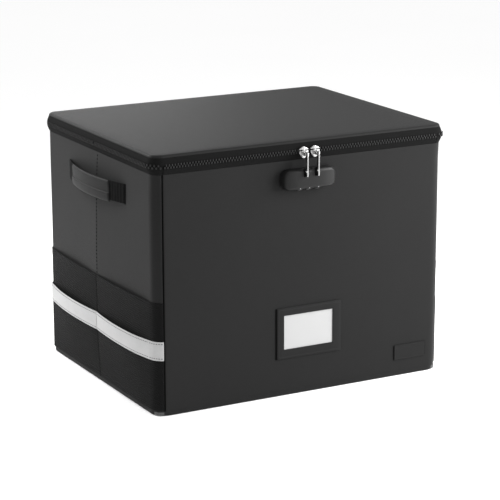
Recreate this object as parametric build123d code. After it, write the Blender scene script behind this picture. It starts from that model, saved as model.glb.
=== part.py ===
"""Record storage box: cloth over boards, a zipped flip lid, and a three-number lock for the two zip sliders.

X is to the right, Y to the back and Z up. The origin is the middle of the underside.
The left and right walls are each two halves that fold inwards at a middle seam, so the empty box closes flat.
"""
from math import asin, atan2, cos, degrees, hypot, radians, sin, sqrt
import os

from build123d import *

# Driving sizes of the box, in millimetres
box_width = 420.0
box_depth = 330.0
box_height = 335.0
corner_radius = 12.0

# Cloth and board
outer_cloth = 0.8
lining_cloth = 0.6
board_thickness = 2.6
fit_gap = 0.1
moving_gap = 0.3
seam_web = 0.6

# Base tray and loose base board
tray_height = 6.0
tray_floor = 1.2
tray_rim = 1.2
tray_foot_radius = 3.0
base_board_thickness = 4.0
base_board_gap = 0.5

# Lid and the zipped band below it
lid_thickness = 4.0
lid_overhang = 0.5
lid_edge_radius = 3.0
band_height = 21.0
lower_band_height = 11.0
band_bulge = 3.6
band_cloth = 1.2
coil_width = 1.4
coil_height = 1.45
hinge_cloth = 0.8
hinge_strip_height = 12.0

# Side pockets
low_pocket_top = 98.0
tall_pocket_top = 148.0
pocket_bottom = 8.0
pocket_cloth = 0.8
tall_pocket_bulge = 3.2
low_pocket_bulge = 6.2
strip_height = 25.0
strip_thickness = 0.5
cloth_gap = 0.1
pocket_seam_gap = 0.6
pocket_foot_bulge = 0.5

# Side handles
handle_drop = 39.5
strap_height = 26.0
strap_thickness = 1.5
slit_spacing = 169.0
slit_width = 2.0
grip_length = 115.0
grip_height = 28.5
grip_thickness = 5.0
grip_standoff = 14.3

# Label, patch
label_width = 94.5
label_height = 68.0
label_centre_x = 8.75
label_centre_z = 84.0
label_thickness = 1.2
label_window_width = 72.0
label_window_height = 45.5
card_margin = 2.5
card_thickness = 0.4
patch_width = 49.0
patch_height = 20.0
patch_inset = 21.5
patch_centre_z = 32.5
patch_thickness = 0.6

# Lock
lock_width = 76.0
lock_height = 26.0
lock_depth = 13.0
lock_centre_x = 3.3
lock_drop = 11.0
lock_corner_radius = 9.0
lock_edge_radius = 4.5
lock_end_wall = 4.5
wheel_radius = 5.2
wheel_width = 7.6
wheel_pitch = 13.15
wheel_centre_x = 1.95
wheel_count = 3
wheel_numbers = 10
wheel_groove = 0.5
wheel_below = 1.5
wheel_behind_face = 1.2
wheel_gap = 0.3
spindle_diameter = 2.4
spindle_overhang = 3.2
leaf_thickness = 0.6
leaf_height = 6.0
wheel_to_leaf = 0.2
slot_width = 6.0
slot_depth_down = 9.5
slot_depth_in = 7.0
latch_bar_thickness = 2.2
latch_bar_height = 5.4
latch_chamber_height = 9.0
latch_roof = 2.5
latch_travel = 3.5
finger_size = 1.6
finger_reach = 4.0
finger_arm = 3.2
button_height = 4.9
button_depth = 4.0
button_proud = 0.5
back_plate_thickness = 1.2
back_plate_margin = 3.0
screw_diameter = 3.0
screw_head_diameter = 6.0
screw_head_height = 1.6
screw_bite = 6.0
screw_spacing = 51.0
screw_height = 7.0

# Sliders and pull tabs
tab_spacing = 16.2
tab_centre_x = 3.9
slider_width = 13.0
slider_height = 15.0
slider_plate = 1.8
slider_edge_radius = 1.2
slider_flange = 1.7
front_gap = 1.3
lug_thickness = 1.3
lug_radius = 2.3
lug_gap = 0.3
pull_pin_diameter = 1.6
tab_thickness = 2.0
tab_depth = 4.0
tab_length = 29.0
tab_eye_radius = 2.6
tab_hole = 2.4
pivot_outset = 0.6
pivot_drop = 2.0

# Worked out from the sizes above
wall_thickness = outer_cloth + board_thickness + 2 * fit_gap + lining_cloth
half_width = box_width / 2
half_depth = box_depth / 2
corner_x = half_width - corner_radius
corner_y = half_depth - corner_radius
wall_bottom = tray_height + moving_gap
band_bottom = box_height - lid_thickness - band_height
wall_top = band_bottom
zip_line = band_bottom + lower_band_height
lower_top = zip_line - moving_gap / 2
upper_bottom = zip_line + moving_gap / 2
lid_bottom = box_height - lid_thickness
handle_height = wall_top - handle_drop
lock_top = wall_top - lock_drop
lock_bottom = lock_top - lock_height
lock_face = half_depth + lock_depth
corner_turn = 90 - degrees(moving_gap / corner_radius)
patch_centre_x = half_width - patch_inset - patch_width / 2


def block(low, high):
    """A box between two corners."""
    size = [b - a for a, b in zip(low, high)]
    middle = [(a + b) / 2 for a, b in zip(low, high)]
    return Pos(*middle) * Box(*size)


def save(name, shape):
    """Write one piece under its own name."""
    export_step(shape, f"parts/{name}.step")


def rounded_plan(offset, low, high):
    """The box's rounded plan, let out by an offset, as an upright block."""
    plan = RectangleRounded(box_width + 2 * offset, box_depth + 2 * offset, corner_radius + offset)
    return Pos(0, 0, low) * extrude(plan, high - low)


def across_y(shape):
    """The same piece on the other side of the middle seam."""
    return mirror(shape, about=Plane.XZ)


def across_x(shape):
    """The same piece on the other side wall."""
    return mirror(shape, about=Plane.YZ)


def side_run(section, start, end):
    """A section of (outset, height) points drawn along the right wall."""
    face = make_face(Polyline(*[(half_width + n, start, z) for n, z in section], close=True))
    return extrude(face, end - start, dir=(0, 1, 0))


def corner_run(section, turn=90.0):
    """The same section turned round the rear right corner."""
    face = make_face(Polyline(*[(half_width + n, corner_y, z) for n, z in section], close=True))
    return revolve(face, axis=Axis((corner_x, corner_y, 0), (0, 0, 1)), revolution_arc=turn)


def back_run(section, start, end):
    """The same section drawn along the back wall."""
    face = make_face(Polyline(*[(start, half_depth + n, z) for n, z in section], close=True))
    return extrude(face, end - start, dir=(1, 0, 0))


def wall_panel(length_low, length_high):
    """A sleeve of outer cloth and lining along X, with its outer face at Y = 0, and the board inside it."""
    sleeve = block((length_low, 0, wall_bottom), (length_high, wall_thickness, wall_top))
    room_low = (length_low + seam_web, outer_cloth, wall_bottom - seam_web)
    room_high = (length_high - seam_web, wall_thickness - lining_cloth, wall_top - outer_cloth)
    sleeve -= block(room_low, room_high)
    board_low = (room_low[0] + fit_gap, room_low[1] + fit_gap, wall_bottom)
    board_high = (room_high[0] - fit_gap, room_high[1] - fit_gap, room_high[2] - fit_gap)
    return sleeve, block(board_low, board_high)


def end_panels():
    """The back wall stays put. The front wall carries the label, patch and lock."""
    reach = corner_x - moving_gap / 2
    sleeve, board = wall_panel(-reach, reach)
    front_sleeve = Pos(0, -half_depth, 0) * sleeve
    front_board = Pos(0, -half_depth, 0) * board
    for x in screw_places():
        hole = screw_bore(x, screw_diameter / 2 + fit_gap, half_depth - wall_thickness - 1, half_depth + 1)
        front_sleeve -= hole
        front_board -= hole
    save("front_cover", front_sleeve)
    save("front_board", front_board)
    save("back_cover", across_y(Pos(0, -half_depth, 0) * sleeve))
    save("back_board", across_y(Pos(0, -half_depth, 0) * board))
    save("back_band", back_run(band_section(), -reach, reach))
    save("front_zip", across_y(back_run(zip_section(), -reach, reach)))


def band_section():
    """The band below the lid where no zip runs, leaning out from the wall."""
    return [
        (-band_cloth, band_bottom),
        (0, band_bottom),
        (band_bulge, lower_top),
        (band_bulge - band_cloth, lower_top),
    ]


def zip_section():
    """Lower zip tape, leaning out from the wall, with the coil along its upper edge."""
    coil_low = lower_top - coil_height
    tape_at_coil = band_bulge * (coil_low - band_bottom) / (lower_top - band_bottom)
    return [
        (-band_cloth, band_bottom),
        (0, band_bottom),
        (tape_at_coil, coil_low),
        (band_bulge + coil_width, coil_low),
        (band_bulge + coil_width, lower_top),
        (band_bulge - band_cloth, lower_top),
    ]


def pocket_outline(inset, thickness, bulge, height):
    """A pocket sheet seen from above: swollen off the wall between its seams, and turned round the corner."""
    start = pocket_seam_gap
    middle = (start + corner_y) / 2
    turn = radians(corner_turn)

    def place(n, angle):
        radius = corner_radius + n
        return (corner_x + radius * cos(angle), corner_y + radius * sin(angle), height)

    def swell(n):
        x = half_width + n
        return ThreePointArc((x, start, height), (x + bulge, middle, height), (x, corner_y, height))

    def corner(n):
        return ThreePointArc(place(n, 0), place(n, turn / 2), place(n, turn))

    outer = inset + thickness
    seam = Line((half_width + inset, start, height), (half_width + outer, start, height))
    edge = Line(place(inset, turn), place(outer, turn))
    return make_face([swell(inset), corner(inset), edge, corner(outer), swell(outer), seam])


def pocket_sheet(inset, thickness, bulge_at, low, high):
    """A sheet of pocket cloth that swells more and more from the bottom seam to the open top."""
    bottom = pocket_outline(inset, thickness, bulge_at(low), low)
    top = pocket_outline(inset, thickness, bulge_at(high), high)
    return loft([bottom, top], ruled=True)


def swelling(bulge, top):
    """How far a pocket stands off the wall at a height, given its swell at the top."""
    return lambda z: pocket_foot_bulge + (bulge - pocket_foot_bulge) * (z - pocket_bottom) / (top - pocket_bottom)


def side_half():
    """The rear half of the right wall: cover, board, two pockets, strip and lower zip."""
    start = moving_gap / 2
    sleeve, board = wall_panel(start, corner_y)
    to_side = Pos(half_width, 0, 0) * Rot(0, 0, 90)
    cover = to_side * sleeve
    corner_cloth = outer_cloth + lining_cloth
    cover += corner_run(
        [(-corner_cloth, wall_bottom), (0, wall_bottom), (0, wall_top), (-corner_cloth, wall_top)],
        corner_turn,
    )
    slit_middle = slit_spacing / 2
    slit_half = strap_height / 2 + slit_width / 4
    cover -= block(
        (half_width - outer_cloth, slit_middle - slit_width / 2, handle_height - slit_half),
        (half_width + 1, slit_middle + slit_width / 2, handle_height + slit_half),
    )
    tall_inset = cloth_gap
    low_inset = tall_inset + pocket_cloth + cloth_gap
    strip_inset = low_inset + pocket_cloth + cloth_gap
    tall_swell = swelling(tall_pocket_bulge, tall_pocket_top)
    low_swell = swelling(low_pocket_bulge, low_pocket_top)
    strip_bottom = low_pocket_top - strip_height
    tall = pocket_sheet(tall_inset, pocket_cloth, tall_swell, pocket_bottom, tall_pocket_top)
    low = pocket_sheet(low_inset, pocket_cloth, low_swell, pocket_bottom, low_pocket_top)
    strip = pocket_sheet(strip_inset, strip_thickness, low_swell, strip_bottom, low_pocket_top)
    return {
        "cover": cover,
        "board": to_side * board,
        "tall_pocket": tall,
        "low_pocket": low,
        "strip": strip,
    }


def side_walls():
    """Four halves, each the mirror image of its neighbour. The zip's coil stops short of the rear corners."""
    for piece, shape in side_half().items():
        save(f"right_rear_{piece}", shape)
        save(f"right_front_{piece}", across_y(shape))
        save(f"left_rear_{piece}", across_x(shape))
        save(f"left_front_{piece}", across_x(across_y(shape)))
    zipped = side_run(zip_section(), moving_gap / 2, corner_y)
    rear = zipped + corner_run(band_section(), corner_turn)
    front = across_y(zipped + corner_run(zip_section(), corner_turn))
    save("right_rear_zip", rear)
    save("right_front_zip", front)
    save("left_rear_zip", across_x(rear))
    save("left_front_zip", across_x(front))


def arc_band(radius, centre_x, half_length, inner, outer, height):
    """A flat band bent round an upright axis, between two offsets from its middle radius."""
    angle = asin(half_length / radius)

    def place(offset, turn):
        return (centre_x + (radius + offset) * cos(turn), (radius + offset) * sin(turn))

    def arc(offset):
        return ThreePointArc(place(offset, -angle), place(offset, 0), place(offset, angle))

    ends = [Line(place(inner, turn), place(outer, turn)) for turn in (-angle, angle)]
    plan = make_face([arc(inner), arc(outer)] + ends)
    return Pos(0, 0, handle_height - height / 2) * extrude(plan, height)


def handles():
    """A webbing strap through two slits, in a padded grip sewn round its middle."""
    slit_middle = slit_spacing / 2
    strap_start = slit_middle - slit_width / 2 + fit_gap
    end_outset = strap_thickness / 2 + fit_gap
    rise = grip_standoff - grip_thickness / 2 - end_outset
    radius = (strap_start**2 + rise**2) / (2 * rise)
    centre_x = half_width + end_outset + rise - radius
    half_strap = strap_thickness / 2
    strap = arc_band(radius, centre_x, strap_start, -half_strap, half_strap, strap_height)
    for side in (1, -1):
        tail_low = (half_width - outer_cloth + fit_gap, strap_start - 1, handle_height - strap_height / 2)
        tail_high = (
            half_width + end_outset + half_strap,
            slit_middle + slit_width / 2 - fit_gap,
            handle_height + strap_height / 2,
        )
        tail = block((half_width + fit_gap, tail_low[1], tail_low[2]), tail_high)
        tail += block((tail_low[0], slit_middle - slit_width / 2 + fit_gap, tail_low[2]), tail_high)
        strap += tail if side > 0 else across_y(tail)
    half_grip = grip_thickness / 2
    grip = arc_band(radius, centre_x, grip_length / 2, -half_grip, half_grip, grip_height)
    grip -= arc_band(
        radius,
        centre_x,
        grip_length,
        -half_strap - fit_gap,
        half_strap + fit_gap,
        strap_height + 2 * fit_gap,
    )
    save("right_handle_strap", strap)
    save("right_handle_grip", grip)
    save("left_handle_strap", across_x(strap))
    save("left_handle_grip", across_x(grip))


def base():
    """A shallow cloth-covered tray, and the loose board that lies in it and holds the walls square."""
    tray = rounded_plan(0, 0, tray_height)
    tray = fillet(tray.edges().filter_by_position(Axis.Z, -fit_gap, fit_gap), tray_foot_radius)
    tray -= rounded_plan(-tray_rim, tray_floor, tray_height + 1)
    save("base_tray", tray)
    inset = tray_rim + base_board_gap
    save("base_board", rounded_plan(-inset, tray_floor, tray_floor + base_board_thickness))


def lid():
    """The flip lid: cloth top, board, lining, the band with the upper zip tape, and its coil on three sides."""
    cover = rounded_plan(lid_overhang, lid_bottom, box_height)
    top_edges = cover.edges().filter_by_position(Axis.Z, box_height - fit_gap, box_height + fit_gap)
    cover = fillet(top_edges, lid_edge_radius)
    room_offset = lid_overhang - lid_edge_radius - outer_cloth / 2
    room_top = box_height - outer_cloth
    cover -= rounded_plan(room_offset, lid_bottom - 1, room_top)
    board_offset = room_offset - fit_gap
    save("lid_cover", cover)
    board_low = lid_bottom + lining_cloth + fit_gap
    save("lid_board", rounded_plan(board_offset, board_low, room_top - fit_gap))
    save("lid_lining", rounded_plan(board_offset, lid_bottom, lid_bottom + lining_cloth))

    tape = [
        (lid_overhang - band_cloth, lid_bottom),
        (lid_overhang, lid_bottom),
        (band_bulge, upper_bottom),
        (band_bulge - band_cloth, upper_bottom),
    ]
    save("lid_band", full_ring(tape))
    coil_top = upper_bottom + coil_height
    slope = (band_bulge - lid_overhang) / (lid_bottom - upper_bottom)
    coil = [
        (band_bulge, upper_bottom),
        (band_bulge + coil_width, upper_bottom),
        (band_bulge + coil_width, coil_top),
        (band_bulge - slope * coil_height, coil_top),
    ]
    side = side_run(coil, -corner_y, corner_y) + across_y(corner_run(coil))
    front = across_y(back_run(coil, -corner_x, corner_x))
    save("lid_zip_coil", side + across_x(side) + front)

    strip_low = (-corner_x, half_depth + band_bulge + moving_gap, zip_line - hinge_strip_height / 2)
    strip_high = (corner_x, strip_low[1] + hinge_cloth, zip_line + hinge_strip_height / 2)
    save("hinge_strip", block(strip_low, strip_high))


def full_ring(section):
    """A section drawn right round the box."""
    side = side_run(section, -corner_y, corner_y) + corner_run(section)
    side += across_y(corner_run(section))
    back = back_run(section, -corner_x, corner_x)
    return side + across_x(side) + back + across_y(back)


def screw_places():
    """The two lock screws, either side of the lock's middle."""
    return [lock_centre_x - screw_spacing / 2, lock_centre_x + screw_spacing / 2]


def screw_bore(x, radius, near, far):
    """A round bar along Y at a screw's place, between two distances in front of the middle."""
    length = far - near
    bar = Rot(90, 0, 0) * Cylinder(radius, length)
    return Pos(x, -(near + far) / 2, lock_bottom + screw_height) * bar


def wheel_places():
    """The X of each number wheel."""
    first = wheel_centre_x - wheel_pitch * (wheel_count - 1) / 2
    return [first + wheel_pitch * k for k in range(wheel_count)]


def tab_places():
    """The X of each pull tab and of its slot in the lock."""
    return {"left": tab_centre_x - tab_spacing / 2, "right": tab_centre_x + tab_spacing / 2}


def along_x(radius, length, x, y, z):
    """A round bar along X."""
    return Pos(x, y, z) * Rot(0, 90, 0) * Cylinder(radius, length)


wheel_axis_y = -(lock_face - wheel_behind_face - wheel_radius)
wheel_axis_z = lock_bottom - wheel_below + wheel_radius
leaf_face_y = wheel_axis_y + wheel_radius + wheel_to_leaf
slot_floor_y = -(lock_face - slot_depth_in)
chamber_front_y = slot_floor_y + outer_cloth
chamber_top = lock_top - latch_roof
chamber_low = chamber_top - latch_chamber_height
chamber_left = lock_centre_x - lock_width / 2 + lock_end_wall
chamber_right = lock_centre_x + lock_width / 2 - lock_end_wall
finger_z = chamber_top - latch_chamber_height / 2 + finger_size
finger_y = slot_floor_y - slot_depth_in / 2 - moving_gap
button_z = finger_z - finger_size / 2
bar_front = chamber_front_y + moving_gap
bar_end = chamber_right - latch_travel - moving_gap
button_back = bar_front + latch_bar_thickness


def lock_housing():
    """A rounded case, hollow at the back, with wheel windows underneath and two tab slots above."""
    outline = RectangleRounded(lock_width, lock_height, lock_corner_radius)
    case = Pos(lock_centre_x, -half_depth, lock_bottom + lock_height / 2) * Rot(90, 0, 0) * extrude(
        outline, lock_depth
    )
    face_edges = case.edges().filter_by_position(Axis.Y, -lock_face - fit_gap, -lock_face + fit_gap)
    case = fillet(face_edges, lock_edge_radius)
    pocket_radius = wheel_radius + wheel_gap
    pocket_half = wheel_width / 2 + wheel_gap
    back_y = -half_depth + 1
    for x in wheel_places():
        case -= along_x(pocket_radius, 2 * pocket_half, x, wheel_axis_y, wheel_axis_z)
        case -= block(
            (x - pocket_half, wheel_axis_y, wheel_axis_z - pocket_radius),
            (x + pocket_half, back_y, wheel_axis_z + pocket_radius),
        )
    case -= along_x(
        spindle_diameter / 2 + fit_gap, spindle_length() + 2 * fit_gap, wheel_centre_x, wheel_axis_y, wheel_axis_z
    )
    half_leaf = leaf_length() / 2 + fit_gap
    case -= block(
        (wheel_centre_x - half_leaf, leaf_face_y, wheel_axis_z - leaf_height / 2 - fit_gap),
        (wheel_centre_x + half_leaf, back_y, wheel_axis_z + leaf_height / 2 + fit_gap),
    )
    case -= block((chamber_left, chamber_front_y, chamber_low), (chamber_right, back_y, chamber_top))
    for x in tab_places().values():
        left = x - slot_width / 2
        case -= block(
            (left, -lock_face - 1, lock_top - slot_depth_down),
            (left + slot_width, slot_floor_y, lock_top + 1),
        )
        half = finger_size / 2 + moving_gap
        case -= block(
            (left - finger_reach - finger_arm - moving_gap, finger_y - half, finger_z - half),
            (left + fit_gap, chamber_front_y + fit_gap, finger_z + half),
        )
    case -= block(
        (bar_end - moving_gap, button_back - button_depth - moving_gap, button_z - button_height / 2 - moving_gap),
        (lock_centre_x + lock_width, back_y, button_z + button_height / 2 + moving_gap),
    )
    for x in screw_places():
        case -= screw_bore(x, screw_diameter / 2 + fit_gap, half_depth - 1, half_depth + screw_bite + fit_gap)
    save("lock_housing", case)


def spindle_length():
    """The spindle reaches past the outer wheels into the case."""
    return wheel_pitch * (wheel_count - 1) + wheel_width + 2 * spindle_overhang


def leaf_length():
    """The leaf spring ends on the case beyond the outer wheels."""
    return spindle_length() + spindle_overhang


def lock_inside():
    """Wheels on their spindle, the leaf that clicks them, and the plate and screws inside the wall."""
    save("dial_spindle", along_x(spindle_diameter / 2, spindle_length(), wheel_centre_x, wheel_axis_y, wheel_axis_z))
    half_leaf = leaf_length() / 2
    save("detent_leaf", block(
        (wheel_centre_x - half_leaf, leaf_face_y, wheel_axis_z - leaf_height / 2),
        (wheel_centre_x + half_leaf, leaf_face_y + leaf_thickness, wheel_axis_z + leaf_height / 2),
    ))
    for number, x in enumerate(wheel_places(), start=1):
        wheel = along_x(wheel_radius, wheel_width, x, wheel_axis_y, wheel_axis_z)
        for k in range(wheel_numbers):
            turn = radians(360 / wheel_numbers * (k + 0.5))
            wheel -= along_x(
                wheel_groove,
                wheel_width + 1,
                x,
                wheel_axis_y + wheel_radius * cos(turn),
                wheel_axis_z + wheel_radius * sin(turn),
            )
        wheel -= along_x(spindle_diameter / 2 + fit_gap, wheel_width + 1, x, wheel_axis_y, wheel_axis_z)
        save(f"number_wheel_{number}", wheel)
    inner_face = half_depth - wall_thickness
    plate = block(
        (lock_centre_x - lock_width / 2 + back_plate_margin, -inner_face, lock_bottom + back_plate_margin),
        (
            lock_centre_x + lock_width / 2 - back_plate_margin,
            -inner_face + back_plate_thickness,
            lock_top - back_plate_margin,
        ),
    )
    head_face = inner_face - back_plate_thickness
    screws = Part()
    for x in screw_places():
        plate -= screw_bore(x, screw_diameter / 2 + fit_gap, head_face - 1, inner_face + 1)
        screws += screw_bore(x, screw_diameter / 2, head_face, half_depth + screw_bite)
        screws += screw_bore(x, screw_head_diameter / 2, head_face - screw_head_height, head_face)
    save("lock_back_plate", plate)
    save("lock_screws", screws)


def latch():
    """A sliding bar with a hooked finger for each tab, and the button that draws it back."""
    bar_low = button_z - latch_bar_height / 2
    bar = block(
        (chamber_left + moving_gap, bar_front, bar_low),
        (bar_end, bar_front + latch_bar_thickness, bar_low + latch_bar_height),
    )
    half = finger_size / 2
    for x in tab_places().values():
        left = x - slot_width / 2
        arm_right = left - finger_reach
        bar += block(
            (arm_right - finger_arm, finger_y - half, finger_z - half),
            (arm_right, bar_front + fit_gap, finger_z + half),
        )
        bar += block(
            (arm_right, finger_y - half, finger_z - half),
            (left - moving_gap, finger_y + half, finger_z + half),
        )
    save("latch_bar", bar)
    button = block(
        (bar_end, button_back - button_depth, button_z - button_height / 2),
        (lock_centre_x + lock_width / 2 + button_proud, button_back, button_z + button_height / 2),
    )
    outer_face = button.faces().sort_by(Axis.X)[-1]
    save("release_button", fillet(outer_face.edges(), button_proud))


def pivot():
    """The pull tab's pivot: Y and Z."""
    return -(lock_face + pivot_outset), zip_line - pivot_drop


def tab_hole_place():
    """The tab's hole, at rest, that meets the latch finger once the tab is swung into its slot."""
    y, z = pivot()
    reach = hypot(finger_y - y, finger_z - z)
    middle = -(lock_face + front_gap + tab_depth / 2)
    return middle, z - sqrt(reach**2 - (middle - y) ** 2)


def tab_swing():
    """How far the tab turns to come into its slot, in degrees."""
    y, z = pivot()
    hole_y, hole_z = tab_hole_place()
    return degrees(atan2(finger_y - y, z - finger_z) - atan2(hole_y - y, z - hole_z))


def sliders():
    """Zip sliders hooked over the lid's coil, and their flat pull tabs.

    The flange under the lower coil is left out, so that the front wall can fold away behind the plate.
    """
    plate_inner = half_depth + band_bulge + coil_width + front_gap
    plate_outer = plate_inner + slider_plate
    pivot_y, pivot_z = pivot()
    coil_top = upper_bottom + coil_height
    middle_z = zip_line - 1
    for side, x in tab_places().items():
        plate = block(
            (x - slider_width / 2, -plate_outer, middle_z - slider_height / 2),
            (x + slider_width / 2, -plate_inner, middle_z + slider_height / 2),
        )
        face_edges = plate.faces().sort_by(Axis.Y)[0].edges()
        body = fillet(face_edges, slider_edge_radius)
        flange_reach = half_depth + band_bulge + moving_gap
        body += block(
            (x - slider_width / 2, -plate_inner, coil_top + moving_gap),
            (x + slider_width / 2, -flange_reach, coil_top + moving_gap + slider_flange),
        )
        for way in (-1, 1):
            middle = x + way * (tab_thickness / 2 + lug_gap + lug_thickness / 2)
            body += along_x(lug_radius, lug_thickness, middle, pivot_y, pivot_z)
            body += block(
                (middle - lug_thickness / 2, pivot_y, pivot_z - lug_radius),
                (middle + lug_thickness / 2, -plate_outer + slider_plate / 2, pivot_z + lug_radius),
            )
        pin_length = tab_thickness + 2 * lug_gap + lug_thickness
        body += along_x(pull_pin_diameter / 2, pin_length, x, pivot_y, pivot_z)
        save(f"{side}_slider", body)

        rear = -(lock_face + front_gap)
        tab = block(
            (x - tab_thickness / 2, rear - tab_depth, pivot_z - tab_length),
            (x + tab_thickness / 2, rear, pivot_z + tab_eye_radius),
        )
        corners = tab.edges().filter_by(Axis.X)
        tab = fillet(corners, tab_depth / 4)
        tab += along_x(tab_eye_radius, tab_thickness, x, pivot_y, pivot_z)
        tab -= along_x(pull_pin_diameter / 2 + fit_gap, tab_thickness + 1, x, pivot_y, pivot_z)
        hole_y, hole_z = tab_hole_place()
        tab -= along_x(tab_hole / 2, tab_thickness + 1, x, hole_y, hole_z)
        save(f"{side}_pull_tab", tab)
    print(f"tab swing into its slot: {tab_swing():.2f} degrees, pivot at {pivot_y:.2f}, {pivot_z:.2f}")


def front_trim():
    """A stitched label frame with its card, and a small bare patch."""
    face = -half_depth
    frame_low = (label_centre_x - label_width / 2, face - label_thickness, label_centre_z - label_height / 2)
    frame_high = (label_centre_x + label_width / 2, face, label_centre_z + label_height / 2)
    frame = block(frame_low, frame_high)
    window_low = (label_centre_x - label_window_width / 2, face - 2 * label_thickness,
                  label_centre_z - label_window_height / 2)
    window_high = (label_centre_x + label_window_width / 2, face + 1,
                   label_centre_z + label_window_height / 2)
    frame -= block(window_low, window_high)
    card_low = (window_low[0] - card_margin, face - card_thickness, window_low[2] - card_margin)
    card_high = (window_high[0] + card_margin, face, window_high[2] + card_margin)
    room = fit_gap
    frame -= block(
        (card_low[0] - room, card_low[1] - room, card_low[2] - room),
        (card_high[0] + room, face + 1, card_high[2] + room),
    )
    save("label_frame", frame)
    save("label_card", block(card_low, card_high))
    save("front_patch", block(
        (patch_centre_x - patch_width / 2, face - patch_thickness, patch_centre_z - patch_height / 2),
        (patch_centre_x + patch_width / 2, face, patch_centre_z + patch_height / 2),
    ))


os.makedirs("parts", exist_ok=True)
base()
end_panels()
side_walls()
handles()
lid()
lock_housing()
lock_inside()
latch()
sliders()
front_trim()
print(f"fold axes: corners at {corner_x:.2f}, {corner_y:.2f}, seam at {half_width:.2f}, 0")
print(f"lid hinge at {half_depth + band_bulge + moving_gap + hinge_cloth / 2:.2f}, {zip_line:.2f}")
print(f"wheel axis at {wheel_axis_y:.2f}, {wheel_axis_z:.2f}")
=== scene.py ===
"""Looks of a record storage box: cloth over boards, a zipped flip lid and a lock with three number wheels.

Metres, with X to the right, Y to the back and Z up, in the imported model's frame.
"""
from math import cos, pi, radians, sin, sqrt

import bmesh
import bpy
from mathutils import Matrix, Vector, noise


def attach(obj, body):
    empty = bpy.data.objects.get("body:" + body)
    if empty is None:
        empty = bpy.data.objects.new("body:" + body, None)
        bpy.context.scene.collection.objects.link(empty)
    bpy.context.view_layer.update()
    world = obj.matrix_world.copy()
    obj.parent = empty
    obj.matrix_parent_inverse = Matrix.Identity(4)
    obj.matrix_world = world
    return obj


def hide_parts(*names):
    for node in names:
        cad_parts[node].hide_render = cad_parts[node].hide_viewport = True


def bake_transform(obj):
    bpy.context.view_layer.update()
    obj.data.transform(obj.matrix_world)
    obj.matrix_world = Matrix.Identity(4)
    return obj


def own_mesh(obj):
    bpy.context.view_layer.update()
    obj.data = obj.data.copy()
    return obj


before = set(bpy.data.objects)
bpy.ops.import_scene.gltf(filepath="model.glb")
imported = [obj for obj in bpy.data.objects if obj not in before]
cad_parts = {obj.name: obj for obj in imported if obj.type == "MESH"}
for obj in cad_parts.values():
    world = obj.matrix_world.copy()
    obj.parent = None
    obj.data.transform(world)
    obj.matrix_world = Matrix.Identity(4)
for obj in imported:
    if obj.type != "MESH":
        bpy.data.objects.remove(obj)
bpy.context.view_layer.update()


# Base tray
# A shallow tray of stiff card covered in the outer cloth, which the four walls are sewn to.
# The cloth is folded under, so its lower edge is round.
mm = 0.001
half_width = 210 * mm
half_depth = 165 * mm
corner_radius = 12 * mm
tray_height = 6.25 * mm
tray_round = 2.4 * mm
front_corner = 16 * mm
lid_corner = 14 * mm
foot_corner = 19 * mm
tray_rim = 1.2 * mm
tray_floor = 1.2 * mm
outer_grey = 0.012


class Dye:
    """One output of a material's nodes. Sums on it add their own Math nodes."""

    def __init__(self, tree, socket):
        self.tree = tree
        self.socket = socket

    def node(self, kind, settings, values, out=0):
        """Any other node: its settings first, then the values or links of its sockets."""
        made = self.tree.nodes.new("ShaderNode" + kind)
        for name, setting in settings.items():
            if name == "stops":
                ramp = made.color_ramp.elements
                for number, (place, tone) in enumerate(setting):
                    stop = ramp[number] if number < len(ramp) else ramp.new(place)
                    stop.position = place
                    stop.color = (tone, tone, tone, 1)
            else:
                setattr(made, name, setting)
        for name, value in values.items():
            if isinstance(value, Dye):
                self.tree.links.new(value.socket, made.inputs[name])
            else:
                made.inputs[name].default_value = value
        return Dye(self.tree, made.outputs[out])

    def sum(self, operation, first, second=0.0):
        return self.node("Math", {"operation": operation}, {0: first, 1: second})

    def __add__(self, other):
        return self.sum("ADD", self, other)

    def __sub__(self, other):
        return self.sum("SUBTRACT", self, other)

    def __rsub__(self, other):
        return self.sum("SUBTRACT", other, self)

    def __mul__(self, other):
        return self.sum("MULTIPLY", self, other)

    def __mod__(self, other):
        return self.sum("FLOORED_MODULO", self, other)

    def __pow__(self, other):
        return self.sum("POWER", self, other)

    def __abs__(self):
        return self.sum("ABSOLUTE", self)

    __radd__ = __add__
    __rmul__ = __mul__


def start_finish(name, reads="UV"):
    """A new material, and the place that its pattern reads on the piece, in millimetres."""
    material = bpy.data.materials.new(name)
    material.use_nodes = True
    tree = material.node_tree
    source = Dye(tree, tree.nodes.new("ShaderNodeTexCoord").outputs[reads])
    return material, source.node("VectorMath", {"operation": "SCALE"}, {0: source, "Scale": 1 / mm})


def set_shader(material, **sockets):
    """Sets or links the shader's sockets, and hands the material back. An underscore stands for a space."""
    shader = material.node_tree.nodes["Principled BSDF"]
    for name, value in sockets.items():
        socket = shader.inputs[name.replace("_", " ")]
        if isinstance(value, Dye):
            material.node_tree.links.new(value.socket, socket)
        else:
            socket.default_value = value
    return material


def axes_of(place):
    """The three numbers of a place."""
    return [place.node("SeparateXYZ", {}, {0: place}, out) for out in range(3)]


def mottle(place, size, detail=2.0):
    """Cloudy noise about 0.5, with spots of a size in millimetres."""
    return place.node("TexNoise", {}, {"Vector": place, "Scale": 1 / size, "Detail": detail})


def raised(height, depth, strength=1.0):
    """A bump of a depth in metres."""
    return height.node("Bump", {}, {"Strength": strength, "Distance": depth, "Height": height})


def shade(mask, first, second):
    """A colour between two, by a mask."""
    values = {0: mask, 6: (*first, 1), 7: (*second, 1)}
    return mask.node("Mix", {"data_type": "RGBA"}, values, out=2)


def grey(tone, warmth=0.0):
    """A near-neutral colour."""
    return (tone * (1 + warmth), tone, tone * (1 - warmth))


def ribbed(axis, pitch):
    """Ribs across an axis, each as wide as a pitch in millimetres."""
    return abs(axis.sum("SINE", axis * (pi / pitch)))


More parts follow.
